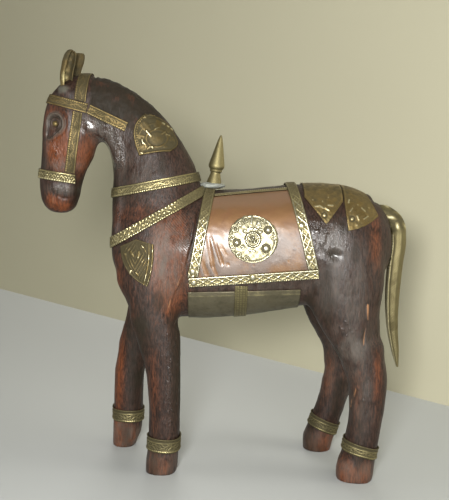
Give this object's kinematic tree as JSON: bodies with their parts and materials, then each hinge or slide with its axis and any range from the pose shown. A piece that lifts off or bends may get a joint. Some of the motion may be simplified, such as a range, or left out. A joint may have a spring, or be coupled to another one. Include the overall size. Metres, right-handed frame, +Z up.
{
  "type": "wooden horse sculpture",
  "caption": "Standing carved wooden horse dressed in embossed brass sheet, with copper saddle sides and a sheet-brass tail, for show on a shelf or table.",
  "frame": {"origin": "middle of the underside of the object's box, on the surface that the hooves stand on", "axes": "+Z up, -Y towards the head, +X towards the horse's left side"},
  "size_m": [0.0512, 0.1646, 0.1819],
  "materials": {
    "wood": "dark varnished hardwood, rubbed to red-brown in places",
    "brass": "aged embossed sheet brass with bright high spots and dark hollows",
    "copper": "worn, dented sheet copper",
    "dark_brass": "dull, tarnished sheet brass",
    "solder": "dull grey lump"
  },
  "bodies": {
    "root": {"horse_body": "wood", "ear_left": "brass", "ear_right": "brass", "eye_stud_left": "brass", "eye_stud_right": "brass", "browband": "brass", "crownpiece": "brass", "noseband": "brass", "cheek_strap_left": "brass", "cheek_strap_right": "brass", "throat_strap_left": "brass", "throat_strap_right": "brass", "neck_plate_left": "brass", "neck_plate_right": "brass", "neck_collar": "brass", "breast_collar": "brass", "breast_plate_left": "brass", "breast_plate_right": "brass", "pommel_finial": "brass", "solder_blob": "solder", "front_saddle_strip": "brass", "rear_saddle_strip": "brass", "saddle_panel_left": "copper", "saddle_panel_right": "copper", "medallion_left": "brass", "medallion_right": "brass", "lower_saddle_strip_left": "brass", "lower_saddle_strip_right": "brass", "upper_saddle_strip_left": "brass", "upper_saddle_strip_right": "brass", "belly_sheet": "dark_brass", "girth_strap": "brass", "front_rump_plate": "brass", "rear_rump_plate": "brass", "tail": "brass", "anklet_left_fore": "brass", "anklet_right_fore": "brass", "anklet_left_hind": "brass", "anklet_right_hind": "brass"}
  },
  "joints": []
}
